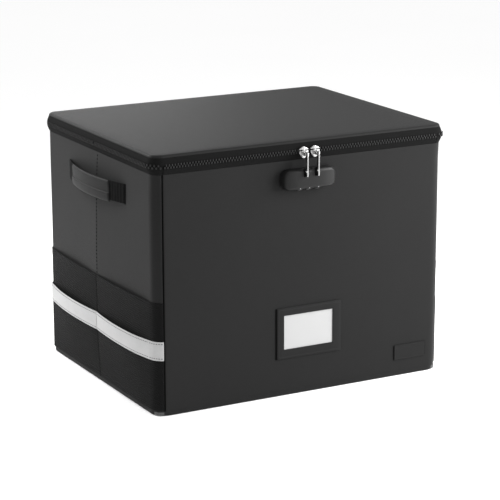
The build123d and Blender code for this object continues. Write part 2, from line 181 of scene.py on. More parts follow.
def plain_weave(across, up, thread):
    """Height of a plain weave: threads of a width in millimetres, over and under by turns."""
    across = across * (1 / thread)
    up = up * (1 / thread)
    warp = ribbed(across, 1)
    weft = ribbed(up, 1)
    over = (across.sum("FLOOR", across) + up.sum("FLOOR", up)) % 2
    return warp * weft * 0.4 + (over * warp + (1 - over) * weft) * 0.6


def outer_cloth(name, reads="UV"):
    """Coated oxford cloth: a fine weave nearly filled by its coating, with a slight slub along the threads."""
    material, place = start_finish(name, reads)
    across, up = axes_of(place)[:2]
    weave = plain_weave(across, up, 0.7)
    slub = place.node("Mapping", {}, {"Vector": place, "Scale": (0.11, 0.9, 0.11)})
    slub = mottle(slub, 1.3, 3)
    cloud = mottle(place, 70, 1)
    tone = weave * 0.10 + slub * 0.60 + cloud * 0.16 + 0.06
    colour = shade(tone, grey(outer_grey * 0.72), grey(outer_grey * 1.30))
    return set_shader(
        material, Base_Color=colour, Roughness=0.50 + slub * 0.16, Specular_IOR_Level=0.08, Sheen_Weight=0.03,
        Sheen_Roughness=0.5, Normal=raised(weave * 0.5 + slub * 0.5, 0.07 * mm),
    )


def make_piece(name, shape, *finishes, sharp=40):
    """The finished object: its mesh, its materials, and smooth shading but for edges that turn more than an angle."""
    mesh = bpy.data.meshes.new(name)
    shape.to_mesh(mesh)
    shape.free()
    piece = bpy.data.objects.new(name, mesh)
    bpy.context.collection.objects.link(piece)
    for finish in finishes:
        mesh.materials.append(finish)
    mesh.shade_smooth()
    mesh.set_sharp_from_angle(angle=radians(sharp))
    return piece


def settle(piece, body, node=None):
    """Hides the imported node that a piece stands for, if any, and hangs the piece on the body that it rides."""
    if node:
        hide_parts(node)
    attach(piece, body)


def cuboid(shape, low, high):
    """Adds a block between two corners, and returns its points."""
    points = bmesh.ops.create_cube(shape, size=1)["verts"]
    size = Vector(high) - Vector(low)
    bmesh.ops.scale(shape, vec=size, verts=points)
    bmesh.ops.translate(shape, vec=(Vector(high) + Vector(low)) / 2, verts=points)
    return points


def edges_where(shape, test):
    """The edges whose two ends both pass a test."""
    return [edge for edge in shape.edges if all(test(point.co) for point in edge.verts)]


def faces_where(shape, test):
    """The faces whose middle passes a test."""
    return [face for face in shape.faces if test(face.calc_center_median())]


def upright_edges(shape):
    return [edge for edge in shape.edges if abs((edge.verts[0].co - edge.verts[1].co).normalized().z) > 0.99]


def round_over(shape, edges, radius, segments):
    """Rounds edges off."""
    bmesh.ops.bevel(
        shape, geom=edges, offset=radius, segments=segments, profile=0.5, affect="EDGES", material=-1,
    )


def lay_flat(shape):
    """A UV map in metres, each face read along the two axes that it faces across."""
    uv = shape.loops.layers.uv.verify()
    shape.normal_update()
    for face in shape.faces:
        facing = max(range(3), key=lambda axis: abs(face.normal[axis]))
        first, second = [axis for axis in range(3) if axis != facing]
        for loop in face.loops:
            loop[uv].uv = (loop.vert.co[first], loop.vert.co[second])


def rounded_slab(low_z, high_z, let_out, front_radius=lid_corner):
    """A block with the box's rounded plan, let out by an amount. Its two front corners are rounder."""
    slab = bmesh.new()
    half = Vector((half_width + let_out, half_depth + let_out))
    cuboid(slab, (-half.x, -half.y, low_z), (half.x, half.y, high_z))
    for end, radius in ((-1, front_radius), (1, corner_radius)):
        corners = [edge for edge in upright_edges(slab) if abs(edge.verts[0].co.y - end * half.y) < 0.01 * mm]
        round_over(slab, corners, radius + let_out, 14)
    return slab


box_cloth = outer_cloth("box_cloth")
tray = rounded_slab(0, tray_height, 0, foot_corner)
round_over(tray, edges_where(tray, lambda co: co.z < 0.01 * mm), tray_round, 6)
tray_top = faces_where(tray, lambda at: at.z > tray_height - 0.01 * mm)
bmesh.ops.inset_region(tray, faces=tray_top, thickness=tray_rim)
tray_inside = bmesh.ops.extrude_discrete_faces(tray, faces=tray_top)["faces"]
bmesh.ops.translate(tray, vec=(0, 0, tray_floor - tray_height), verts=tray_inside[0].verts)
lay_flat(tray)
settle(make_piece("tray", tray, box_cloth), "case", "base_tray")


# Boards
# Grey card, cut square: one loose in the tray under a skin of lining, one in each wall's sleeve and one in
# the lid. Only the loose one shows, with the lid open.
def grey_card(name):
    """Pressed paper board, flecked, with no grain."""
    material, place = start_finish(name, "Object")
    fleck = mottle(place, 1.1, 4)
    cloud = mottle(place, 25)
    colour = shade(fleck * 0.6 + cloud * 0.4, grey(0.17, 0.06), grey(0.30, 0.04))
    return set_shader(material, Base_Color=colour, Roughness=0.88, Normal=raised(fleck, 0.08 * mm))


def lining_cloth(name, reads="UV"):
    """Thin non-woven lining, pressed in a grid of small dots."""
    material, place = start_finish(name, reads)
    across, up = axes_of(place)[:2]
    dots = ribbed(across, 1.6) * ribbed(up, 1.6)
    fibre = mottle(place, 0.9, 4)
    cloud = mottle(place, 40)
    tone = dots * 0.35 + fibre * 0.4 + cloud * 0.25
    colour = shade(tone, grey(0.030), grey(0.075))
    return set_shader(
        material, Base_Color=colour, Roughness=0.86, Sheen_Weight=0.25,
        Normal=raised(dots * 0.6 + fibre * 0.4, 0.10 * mm),
    )


def dress(finish, *nodes):
    """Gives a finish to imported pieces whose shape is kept."""
    for node in nodes:
        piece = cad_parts[node]
        if piece.material_slots:
            for slot in piece.material_slots:
                slot.material = finish
        else:
            piece.data.materials.append(finish)


board_card = grey_card("board_card")
board_lining = lining_cloth("board_lining", "Object")
wall_boards = [f"{side}_{end}_board" for side in ("left", "right") for end in ("front", "rear")]
dress(board_card, "front_board", "back_board", "lid_board", *wall_boards)
dress(board_lining, "base_board")


# Walls
# Each wall is a sleeve of outer cloth and lining round its board, sewn to its neighbours through its edges.
# The left and right walls are two sleeves each, and their cloth carries on round the corners.
straight = half_depth - corner_radius
corner_arc = corner_radius * pi / 2
end_half = half_width - corner_radius
quarter = straight + corner_arc + end_half
front_middle = 3 * quarter
back_middle = quarter
wall_low = 6.3 * mm
wall_high = 310 * mm
seam_gap = 1.2 * mm
end_reach = end_half - seam_gap / 2
side_reach = straight + corner_arc - seam_gap
middle_gap = 0.03 * mm
middle_roll = 0.25 * mm
lining_gap = 0.1 * mm
wall_thickness = 4.2 * mm
sleeve_cloth = 0.7 * mm
seam_roll = 0.8 * mm
head_roll = 0.5 * mm
wave = 0.22 * mm
side_bow = 4.6 * mm
sink_depth = (front_corner - corner_radius) * (sqrt(2) - 1)
sink_spread = 14 * mm
foot_reach = 24 * mm
head_start = 290 * mm
head_reach = 20 * mm
corner_start = straight - 5 * mm
corner_columns = 24
end_wall_grid = (100, 70)
half_wall_grid = (90, 70)
press_depth = 0.7 * mm
hidden_seam = straight + 0.2 * corner_arc
HALVES = {
    "right_rear": (0, 1),
    "left_rear": (2 * quarter, -1),
    "left_front": (2 * quarter, 1),
    "right_front": (4 * quarter, -1),
}


def outline(along):
    """A point of the box's outline, that far round from the middle of the right side, and its way out."""
    number, rest = divmod(along, quarter)
    reach = rest if number % 2 == 0 else quarter - rest
    turn = min(max(reach - straight, 0) / corner_radius, pi / 2)
    past = max(reach - straight - corner_arc, 0)
    x = end_half - past + corner_radius * cos(turn)
    y = min(reach, straight) + corner_radius * sin(turn)
    side = 1 if number % 4 in (0, 3) else -1
    end = 1 if number % 4 in (0, 1) else -1
    return Vector((side * x, end * y)), Vector((side * cos(turn), end * sin(turn)))


def cut_cloth(first, last, low, high, columns, rows, closer=True):
    """Flat cloth: X runs along the box's outline, Y up and Z out. Its rows lie closer towards its seams."""
    cloth = bmesh.new()
    bmesh.ops.create_grid(cloth, x_segments=columns, y_segments=rows, size=0.5)
    for point in cloth.verts:
        share = [sin(pi * value) / 2 if closer else value for value in point.co.xy]
        point.co.x = first + (last - first) * (share[0] + 0.5)
        point.co.y = low + (high - low) * (share[1] + 0.5)
    return cloth


def chalk(cloth):
    """The cloth's UV map: its flat place, in metres."""
    uv = cloth.loops.layers.uv.verify()
    for face in cloth.faces:
        for loop in face.loops:
            loop[uv].uv = loop.vert.co.xy


def lift(cloth, height):
    """Moves each point of flat cloth out by a height that depends on its place."""
    for point in cloth.verts:
        point.co.z += height(point.co.x, point.co.y)


def reach_of(half):
    """How far a half wall's cloth runs from the middle seam. The right front seam is out of the camera's sight."""
    return (hidden_seam if half == "right_front" else straight + corner_arc) - seam_gap


def sink(along, up):
    """How far the cloth draws in round the two front corners, where no board is behind it: more at the foot."""
    corner = straight + corner_arc / 2
    near = min(abs(along - 2 * quarter - corner), abs(along - 4 * quarter + corner)) / sink_spread
    rise = 1 + max(1 - up / foot_reach, 0) ** 2 - 0.5 * min(max(up - head_start, 0) / head_reach, 1)
    return sink_depth * cos(min(near, 1) * pi / 2) ** 2 * rise


def hang(cloth):
    """Wraps flat cloth round the box."""
    for point in cloth.verts:
        place, out = outline(point.co.x)
        point.co = (*(place + out * (point.co.z - sink(point.co.x, point.co.y))), point.co.y)


def rolled(distance, radius):
    """How far a rolled edge has sunk, that far in from the seam."""
    if distance >= radius:
        return 0
    return radius - sqrt(radius**2 - (radius - max(distance, 0)) ** 2)


def slack(along, up):
    """The slight waviness of cloth over a board. The side walls also bow out a little at their middle seam."""
    reach = min(abs(along - middle) for middle in (0, 2 * quarter, 4 * quarter))
    rise = min(max((up - wall_low) / (wall_high - wall_low), 0), 1)
    bow = side_bow * sin(pi * rise) ** 0.75 * max(1 - reach / straight, 0)
    return wave * (noise.noise((along * 17, up * 13, 0)) - 0.5) + bow


def line_sleeve(cloth, first, last):
    """The lining side of a flat sleeve: its inner face, its two ends and its top, open towards the cloth."""
    low = Vector((first, wall_low, -wall_thickness))
    high = Vector((last, wall_high, -sleeve_cloth - lining_gap))
    points = cuboid(cloth, low, high)
    faces = list({face for point in points for face in point.link_faces})
    for face in faces:
        face.material_index = 1
    middle = (low + high) / 2
    open_sides = [
        face for face in faces
        if face.calc_center_median().z > middle.z + 1 * mm or face.calc_center_median().y < low.y + 1 * mm
    ]
    bmesh.ops.delete(cloth, geom=open_sides, context="FACES")


def thicken(piece, thickness):
    """Gives a sheet its thickness, on its inner side."""
    solid = piece.modifiers.new("thickness", "SOLIDIFY")
    solid.thickness = thickness
    solid.offset = -1
    solid.use_even_offset = True


def hung(name, cloth, thickness, *finishes):
    """Flat cloth wrapped round the box, as a finished piece with a thickness."""
    chalk(cloth)
    hang(cloth)
    piece = make_piece(name, cloth, *finishes)
    thicken(piece, thickness)
    return piece


def follow_half(piece, half):
    """Cloth round a half wall's corner, where it is sewn to the end wall. It stays where it is, but on the right
    front half, which it rides.
    """
    side = -1 if half.startswith("left") else 1
    end = 1 if half.endswith("rear") else -1
    end_point = (side * end_half, end * half_depth, 0)
    side_point = (side * half_width, end * straight, 0)
    if end > 0:
        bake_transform(piece)
    elif side < 0:
        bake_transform(piece)
    else:
        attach(piece, half)


def press_flat(piece, half):
    """Cloth on the flat part of a half wall gets a mesh of its own and rides its half."""
    side = -1 if half.startswith("left") else 1
    fold = "left_rear_fold" if side < 0 else "right_rear_fold"
    side * (half_width - press_depth)
    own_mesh(piece)
    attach(piece, half)


def stretches(half, start, reach):
    """The two stretches of cloth on a half wall: the flat one, and the one that bends round the corner."""
    middle, way = HALVES[half]
    flat = sorted((middle + way * start, middle + way * corner_start))
    bent = sorted((middle + way * corner_start, middle + way * reach))
    return (half, *flat, press_flat), (f"{half}_corner", *bent, follow_half)


def half_cloth(half, kind, node, finish, thickness, reaches, heights, grid, height):
    """Cloth on a half wall, between two reaches from the middle seam: its two stretches are lifted and hung."""
    columns, rows = grid
    for name, first, last, follow in stretches(half, *reaches):
        cloth = cut_cloth(first, last, *heights, columns if follow is press_flat else corner_columns, rows)
        lift(cloth, height)
        piece = hung(f"{name}_{kind}", cloth, thickness, finish)
        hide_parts(f"{half}_{node}")
        follow(piece, half)


wall_lining = lining_cloth("wall_lining")
for name, middle, body in (("front", front_middle, "front"), ("back", back_middle, "case")):
    first, last = middle - end_reach, middle + end_reach
    if name == "front":
        last = 4 * quarter - hidden_seam - seam_gap / 2
    wall = cut_cloth(first, last, wall_low, wall_high, *end_wall_grid)
    lift(wall, lambda along, up: slack(along, up)
         - rolled(min(along - first, last - along), seam_roll) - rolled(wall_high - up, head_roll))
    line_sleeve(wall, middle - end_reach, middle + end_reach)
    settle(hung(f"{name}_wall", wall, sleeve_cloth, box_cloth, wall_lining), body, f"{name}_cover")

for half, (middle, way) in HALVES.items():
    reach = reach_of(half)
    half_cloth(
        half, "wall", "cover", box_cloth, sleeve_cloth,
        (middle_gap, reach), (wall_low, wall_high), half_wall_grid,
        lambda along, up: slack(along, up) - rolled(reach - abs(along - middle), seam_roll)
        - rolled(wall_high - up, head_roll) - rolled(abs(along - middle), middle_roll),
    )
    inside = bmesh.new()
    line_sleeve(inside, *sorted((middle + way * seam_gap / 2, middle + way * straight)))
    settle(hung(f"{half}_inside", inside, sleeve_cloth, box_cloth, wall_lining), half)


# Corner seams
# A narrow strip of near-black tape behind each upright corner seam: painted shade, standing for the shade deep in the
# seam's groove. It shows as a dark line.
seam_shade_half = 1.7 * mm
seam_shade_depth = 0.5 * mm
seam_shade_thickness = 0.3 * mm


def plain_tape(name, tone, ribs=0.9):
    """Woven tape with fine ribs across it."""
    material, place = start_finish(name)
    across, up = axes_of(place)[:2]
    rib = ribbed(up, ribs)
    cross = ribbed(across, ribs)
    fuzz = mottle(place, 0.8, 3)
    colour = shade(rib * 0.3 + cross * 0.25 + fuzz * 0.5, grey(tone * 0.6), grey(tone * 1.35))
    return set_shader(
        material, Base_Color=colour, Roughness=0.66 + fuzz * 0.2, Specular_IOR_Level=0.02, Sheen_Weight=0.01,
        Normal=raised(rib * 0.6 + cross * 0.4, 0.09 * mm),
    )


# Near-black and almost without shine: the painted shade in each corner seam.
seam_painted_shade = plain_tape("seam_painted_shade", 0.0012)
for half, (middle, way) in HALVES.items():
    seam = middle + way * (reach_of(half) + seam_gap)
    shade_strip = cut_cloth(seam - seam_shade_half, seam + seam_shade_half, wall_low, wall_high, 4, 40, closer=False)
    lift(shade_strip, lambda along, up: -seam_shade_depth)
    body = "case" if half.endswith("rear") else "front"
    settle(hung(f"{half}_corner_painted_shade", shade_strip, seam_shade_thickness, seam_painted_shade), body)


# Side pockets
# Two open pockets of thin twill on each half wall, one behind the other, sewn at the foot, at the middle
# seam and round the corner. Their hemmed tops stand off the wall.
pocket_low = 7.5 * mm
tall_top = 148 * mm
low_top = 98 * mm
tall_swell = 3.2 * mm
low_swell = 6.2 * mm
foot_swell = 0.5 * mm
pocket_cloth = 0.7 * mm
pocket_start = 0.5 * mm
tall_out = 0.9 * mm
low_out = 1.8 * mm
hem_depth = 9 * mm
hem_step = 0.25 * mm
pocket_grey = 0.0046
corner_share = 0.4
flat_share = 0.8
hem_roll = 0.35 * mm
middle_edge_roll = 0.5 * mm
corner_edge_roll = 0.7 * mm
foot_roll = 0.6 * mm
pocket_grid = (70, 44)


def twill(name, tone):
    """Thin polyester twill, with long diagonal ribs."""
    material, place = start_finish(name)
    across, up = axes_of(place)[:2]
    rib = ribbed(across * 0.5 - up, 2.4)
    thread = ribbed(across - up * 2.5, 1.1)
    fuzz = mottle(place, 0.9, 3)
    cloud = mottle(place, 45, 1)
    mask = rib * 0.60 + thread * 0.06 + fuzz * 0.24 + cloud * 0.16
    colour = shade(mask, grey(tone * 0.3), grey(tone * 1.9))
    return set_shader(
        material, Base_Color=colour, Roughness=0.62 + fuzz * 0.16, Specular_IOR_Level=0.05, Sheen_Weight=0.015,
        Sheen_Roughness=0.45, Normal=raised(rib * 0.8 + thread * 0.2, 0.6 * mm),
    )


def pocket_swell(swell, top):
    """How far a pocket stands off its wall: most in the middle of its open top, and nothing at its seams."""
    def height(reach, up):
        share = min(max((reach - pocket_start) / (straight - pocket_start), 0), 1)
        rise = (up - pocket_low) / (top - pocket_low)
        sag = 1 + 0.10 * noise.noise((reach * 22, up * 14, swell * 900))
        return (foot_swell + (swell - foot_swell) * rise) * 4 * share * (1 - share) * sag
    return height


def flatten(half, reach):
    """Share of a pocket's thickness that is left, that far from the middle seam: less at a front corner."""
    pull = min(max((reach / straight - flat_share) / (1 - flat_share), 0), 1) if half.endswith("front") else 0
    return 1 - (1 - corner_share) * pull


def hem(up, top):
    """A doubled hem stands a little proud, and its top edge is a fold."""
    doubled = hem_step if top - up < hem_depth else 0
    return doubled - rolled(top - up, hem_roll)


pocket_twill = twill("pocket_twill", pocket_grey)
POCKETS = {
    "tall_pocket": (tall_top, tall_swell, tall_out),
    "low_pocket": (low_top, low_swell, low_out),
}
for half, (middle, way) in HALVES.items():
    reach = reach_of(half)
    for kind, (top, swell, out) in POCKETS.items():
        swollen = pocket_swell(swell, top)
        half_cloth(
            half, f"{kind}_cloth", kind, pocket_twill, pocket_cloth,
            (pocket_start, reach), (pocket_low, top), pocket_grid,
            lambda along, up: out * flatten(half, abs(along - middle)) + slack(along, up) + wave / 2
            + hem(up, top) + swollen(abs(along - middle), up)
            - rolled(abs(along - middle) - pocket_start, middle_edge_roll)
            - rolled(reach - abs(along - middle), corner_edge_roll) - rolled(up - pocket_low, foot_roll),
        )


# Reflective strips
# A band of silver reflective tape sewn along the top of each low pocket, with a row of grey stitches inside
# both of its edges.
strip_low = 73.2 * mm
strip_high = 97.9 * mm
strip_out = 2.55 * mm
strip_tape = 0.45 * mm
stitch_inset = 2.9 * mm
thread_pitch = 3.4 * mm
thread_width = 1.1 * mm
thread_proud = 0.22 * mm
strip_draw = 0.16 * mm
strip_roll = 0.3 * mm
strip_grid = (70, 14)


def silver_tape(name):
    """Reflective tape: glass beads on pale silver cloth, slightly uneven."""
    material, place = start_finish(name)
    beads = place.node("TexVoronoi", {}, {"Vector": place, "Scale": 2.6}, out=0)
    cloud = mottle(place, 22, 2)
    scuff = mottle(place, 3.0, 4)
    mask = cloud * 0.45 + scuff * 0.35 + beads * 0.25
    return set_shader(
        material, Base_Color=shade(mask, grey(0.27), grey(0.42)), Roughness=0.42 + scuff * 0.15,
        Specular_IOR_Level=0.55, Sheen_Weight=0.2, Normal=raised(beads * 0.6 + scuff * 0.4, 0.05 * mm),
    )


def grained(name, size, detail, tones, roughness, spread, depth, **sockets):
    """A plain finish whose grain, of a size in millimetres, varies its colour, its shine and its surface."""
    material, place = start_finish(name, "Object")
    grain = mottle(place, size, detail)
    return set_shader(
        material, Base_Color=shade(grain, *(grey(tone) for tone in tones)),
        Roughness=roughness + grain * spread if spread else roughness, Normal=raised(grain, depth), **sockets,
    )


def sewing_thread(name, tone):
    """Twisted polyester thread."""
    return grained(name, 0.35, 3, (tone * 0.7, tone * 1.3), 0.75, 0, 0.04 * mm, Specular_IOR_Level=0.06)


def sew(cloth, start, end, pitch, share, width, proud):
    """A row of stitches on flat cloth, from one place to another. Each is a short rounded thread."""
    run = Vector(end) - Vector(start)
    count = max(int(run.length / pitch), 1)
    step = run / count
    length = step.length * share
    first = bmesh.ops.create_icosphere(cloth, subdivisions=1, radius=0.5)["verts"]
    bmesh.ops.scale(cloth, vec=(length, width, proud * 2), verts=first)
    bmesh.ops.rotate(cloth, matrix=Matrix.Rotation(step.angle_signed((1, 0)), 3, "Z"), verts=first)
    bmesh.ops.translate(cloth, vec=(*(Vector(start) + step / 2), 0), verts=first)
    faces = {face for point in first for face in point.link_faces}
    edges = {edge for point in first for edge in point.link_edges}
    bmesh.ops.spin(
        cloth, geom=[*first, *edges, *faces], axis=(0, 0, 1), angle=0, dvec=(*step, 0),
        steps=count - 1, use_duplicate=True,
    )


silver = silver_tape("reflective_silver")
strip_thread = sewing_thread("strip_thread", 0.06)
for half, (middle, way) in HALVES.items():
    swollen = pocket_swell(low_swell, low_top)
    end_of_strip = reach_of(half)

    def lie(along, up):
        """Where the strip's face lies over the low pocket."""
        reach = abs(along - middle)
        return strip_out * flatten(half, reach) + hem_step + wave / 2 + slack(along, up) + swollen(reach, up)

    half_cloth(
        half, "strip_tape", "strip", silver, strip_tape,
        (pocket_start, end_of_strip), (strip_low, strip_high), strip_grid,
        lambda along, up: lie(along, up) - rolled(up - strip_low, strip_roll) - rolled(strip_high - up, strip_roll)
        - strip_draw * max(0, 1 - min(up - strip_low, strip_high - up) / stitch_inset)
        - rolled(end_of_strip - abs(along - middle), corner_edge_roll),
    )
    for name, first, last, follow in stretches(half, pocket_start, end_of_strip):
        threads = bmesh.new()
        for up in (strip_low + stitch_inset, strip_high - stitch_inset):
            sew(threads, (first + mm, up), (last - mm, up), thread_pitch, 0.84, thread_width, thread_proud)
        lift(threads, lie)
        hang(threads)
        thread_piece = make_piece(f"{name}_strip_stitches", threads, strip_thread)
        follow(thread_piece, half)


# Middle seam
# The two halves of a side wall, with their pockets, are sewn together by one upright row of black stitches.
# Its stretches lie on the bare wall, on the tall pocket and on the low pocket.
middle_pitch = 4.8 * mm
middle_inset = 0.75 * mm
SEAM_ROWS = {
    "middle": (tall_top + 1 * mm, wall_high - 2 * mm, 3.0 * mm, 0.60 * mm, 0),
    "tall_pocket": (strip_high + 1 * mm, tall_top - 2 * mm, 1.7 * mm, 0.30 * mm, tall_out + hem_step),
    "low_pocket": (pocket_low + 1 * mm, strip_low - 1 * mm, 1.7 * mm, 0.30 * mm, low_out + hem_step),
}
# Black sewing thread for the middle seam's stitches. The same finish paints the shade in the handle slits and the
# shadow along the label holder's and the patch's left edges.
black_thread_and_painted_shade = sewing_thread("black_thread_and_painted_shade", 0.0012)
for half in ("left_front", "right_front"):
    middle, way = HALVES[half]
    along = middle + way * middle_inset
    for name, (low, high, width, proud, out) in SEAM_ROWS.items():
        seam = bmesh.new()
        sew(seam, (along, low), (along, high), middle_pitch, 0.60, width, proud)
        lift(seam, lambda place, up: out + slack(place, up))
        hang(seam)
        seam_piece = make_piece(f"{half}_{name}_stitches", seam, black_thread_and_painted_shade)
        press_flat(seam_piece, half)


# Carrying handles
# A strap of black webbing passes through two slits in each side wall. A padded sleeve of the outer cloth
# is folded round its middle and sewn along a crease below its centre line.
handle_z = 270.5 * mm
strap_height = 25 * mm
strap_lift = 1.5 * mm
strap_thickness = 1.5 * mm
strap_tuck = 0.6 * mm
strap_cuts = 63
slit_reach = 84.5 * mm
slit_width = 2 * mm
slit_low = Vector((-0.7 * mm, -0.9 * mm, -12 * mm))
slit_high = Vector((2.2 * mm, 0.9 * mm, 14 * mm))
slit_round = 0.3 * mm
grip_reach = 57.5 * mm
grip_height = 28.5 * mm
grip_thickness = 5 * mm
grip_standoff = 17.0 * mm
grip_shift = 1.5 * mm
strap_reach = slit_reach - slit_width / 2 + 0.1 * mm
end_stand = strap_thickness / 2 + 1.1 * mm
handle_rise = grip_standoff - grip_thickness / 2 - end_stand
handle_bend = (strap_reach**2 + handle_rise**2) / (2 * handle_rise)
crease_up = -1.8 * mm
grip_top = grip_height / 2
GRIP_PROFILE = [(out * mm, start + up * mm) for start, steps in (
    (grip_top, ((0, 0), (1.5, -0.5), (2.35, -2.2), (2.35, -5.5))),
    (crease_up, ((1.95, 3), (1.75, 0.35), (1.70, 0.05), (2.90, -0.30), (3.2, -1.0), (2.85, -4))),
    (-grip_top, ((2.3, 3.2), (1.4, 0.7), (0, 0), (-1.7, 0.9), (-2.2, 4))),
    (grip_top, ((-2.2, -4), (-1.5, -0.8))),
) for out, up in steps]
grip_steps = 60
grip_round = 1.6 * mm
end_pinch = 0.38
end_dip = 0.03
puff_share = 0.06
ripple_depth = 0.25 * mm
ripple_pitch = 5.2 * mm


def stand_off(reach):
    """How far the strap's middle stands off the wall, that far from the middle seam."""
    if abs(reach) > strap_reach:
        return end_stand
    return end_stand + handle_rise - handle_bend + sqrt(handle_bend**2 - reach**2)


def webbing(name, tone):
    """Ribbed black webbing: ribs across the strap, with a fine weave on them."""
    material, place = start_finish(name)
    across, up = axes_of(place)[:2]
    rib = ribbed(across, 2.6)
    weave = ribbed(across + up, 0.9)
    fuzz = mottle(place, 0.7, 3)
    return set_shader(
        material, Base_Color=shade(rib * 0.5 + weave * 0.2 + fuzz * 0.3, grey(tone * 0.4), grey(tone * 1.7)),
        Roughness=0.55 + fuzz * 0.2, Specular_IOR_Level=0.05, Sheen_Weight=0.0,
        Normal=raised(rib * 0.6 + weave * 0.4, 0.25 * mm),
    )


def bend_handle(shape, side):
    """Bends a straight handle, drawn along Y and out along X, to its arc on one side wall."""
    for point in shape.verts:
        out, reach, up = point.co
        slope = -reach / handle_bend if abs(reach) < strap_reach else 0
        place = Vector((half_width + stand_off(reach) + out * cos(slope), reach + out * sin(-slope), handle_z + up))
        point.co = (side * place.x, place.y, place.z)
    if side < 0:
        bmesh.ops.reverse_faces(shape, faces=shape.faces[:])


def cut_across(shape, place, way):
    """Cuts every face that a plane crosses."""
    parts = shape.verts[:] + shape.edges[:] + shape.faces[:]
    bmesh.ops.bisect_plane(shape, geom=parts, plane_co=place, plane_no=way)


def face_out(shape):
    """Turns every face to the outside."""
    bmesh.ops.recalc_face_normals(shape, faces=shape.faces[:])


strap_webbing = webbing("strap_webbing", 0.002)
grip_cloth = outer_cloth("grip_cloth")
for side, name in ((-1, "left"), (1, "right")):
    strap = bmesh.new()
    strap_middle = Vector((0, 0, strap_lift))
    half_strap = Vector((strap_thickness / 2, slit_reach - slit_width / 2 + strap_tuck, strap_height / 2))
    cuboid(strap, strap_middle - half_strap, strap_middle + half_strap)
    cut_across(strap, (0, 0, 0), (0, 1, 0))
    lengthwise = [edge for edge in strap.edges if abs(edge.verts[0].co.y - edge.verts[1].co.y) > 10 * mm]
    bmesh.ops.subdivide_edges(strap, edges=lengthwise, cuts=strap_cuts, use_grid_fill=True)
    lay_flat(strap)
    for point in strap.verts:
        ripple = ripple_depth * sin(point.co.y * 2 * pi / ripple_pitch)
        point.co.x += ripple if point.co.x > 0 and abs(point.co.y) > grip_reach else 0
    bend_handle(strap, side)
    strap_piece = make_piece(f"{name}_handle_strap", strap, strap_webbing)
    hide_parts(f"{name}_handle_strap")
    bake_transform(strap_piece)

    grip = bmesh.new()
    ring = [grip.verts.new((out, -grip_reach, up)) for out, up in GRIP_PROFILE]
    for start, end in zip(ring, ring[1:] + ring[:1]):
        grip.edges.new((start, end))
    bmesh.ops.spin(
        grip, geom=ring + grip.edges[:], axis=(0, 0, 1), angle=0, dvec=(0, 2 * grip_reach / grip_steps, 0),
        steps=grip_steps,
    )
    bmesh.ops.holes_fill(grip, edges=grip.edges[:], sides=0)
    face_out(grip)
    for point in grip.verts:
        near_end = rolled(grip_reach - abs(point.co.y), grip_round) / grip_round
        puff = 1 + puff_share * noise.noise((point.co.y * 60, point.co.z * 40, side))
        point.co.x *= (1 - end_pinch * near_end) * puff
        point.co.z *= 1 - end_dip * near_end
        point.co.y += grip_shift
    lay_flat(grip)
    bend_handle(grip, side)
    grip_piece = make_piece(f"{name}_handle_grip", grip, grip_cloth, sharp=65)
    rounded = grip_piece.modifiers.new("rounded", "SUBSURF")
    rounded.levels = rounded.render_levels = 1
    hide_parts(f"{name}_handle_grip")
    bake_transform(grip_piece)

    for end, half in ((-1, f"{name}_front"), (1, f"{name}_rear")):
        # Each slit is a small black block round the strap's end: painted shade, standing for the dark gap of the
        # slit.
        slit = bmesh.new()
        centre = Vector((half_width, end * slit_reach, handle_z))
        cuboid(slit, centre + slit_low, centre + slit_high)
        round_over(slit, slit.edges[:], slit_round, 2)
        bmesh.ops.scale(slit, vec=(side, 1, 1), verts=slit.verts)
        face_out(slit)
        settle(make_piece(f"{half}_slit_painted_shade", slit, black_thread_and_painted_shade), half)


# Lower zip
# The lower zip tape is sewn along the top of the walls and leans out to its row of teeth. Across the back
# and round the rear corners, where the lid is hinged, it is a plain band without teeth.
zip_z = 321 * mm
tape_high = zip_z - 0.15 * mm
tape_lean = 3.4 * mm
tape_cloth = 0.8 * mm
tape_reach = straight + corner_arc - 0.3 * mm
tape_end = end_half - 0.15 * mm
tape_roll = 0.2 * mm
half_tape_grid = (70, 12)
end_tape_grid = (40, 12)
tooth_pitch = 4.0 * mm
tooth_width = 1.5 * mm
tooth_height = 2.7 * mm
tooth_depth = 1.2 * mm
tooth_out = 4.3 * mm
tooth_past = -0.05 * mm
tooth_round = 0.32 * mm
tooth_start = 0.8 * mm
front_row_shift = 0.3 * mm


def tape_curve(up):
    """How far the lower tape leans out, at a height: quickly at first, then upright beside the teeth."""
    share = min(max((up - wall_high) / (tape_high - wall_high), 0), 1)
    return tape_lean * sin(share * pi / 2)


def teeth_row(name, first, last, up, shift):
    """A row of zip teeth as one piece, from one place along the outline to another."""
    row = bmesh.new()
    middle = Vector((first + shift, up, tooth_out))
    half_tooth = Vector((tooth_width, tooth_height, tooth_depth)) / 2
    cuboid(row, middle - half_tooth, middle + half_tooth)
    round_over(row, row.edges[:], tooth_round, 2)
    count = int((last - first - shift) / tooth_pitch)
    bmesh.ops.spin(
        row, geom=row.verts[:] + row.edges[:] + row.faces[:], axis=(0, 0, 1), angle=0,
        dvec=(tooth_pitch, 0, 0), steps=count, use_duplicate=True,
    )
    hang(row)
    piece = make_piece(name, row, nylon)
    return piece


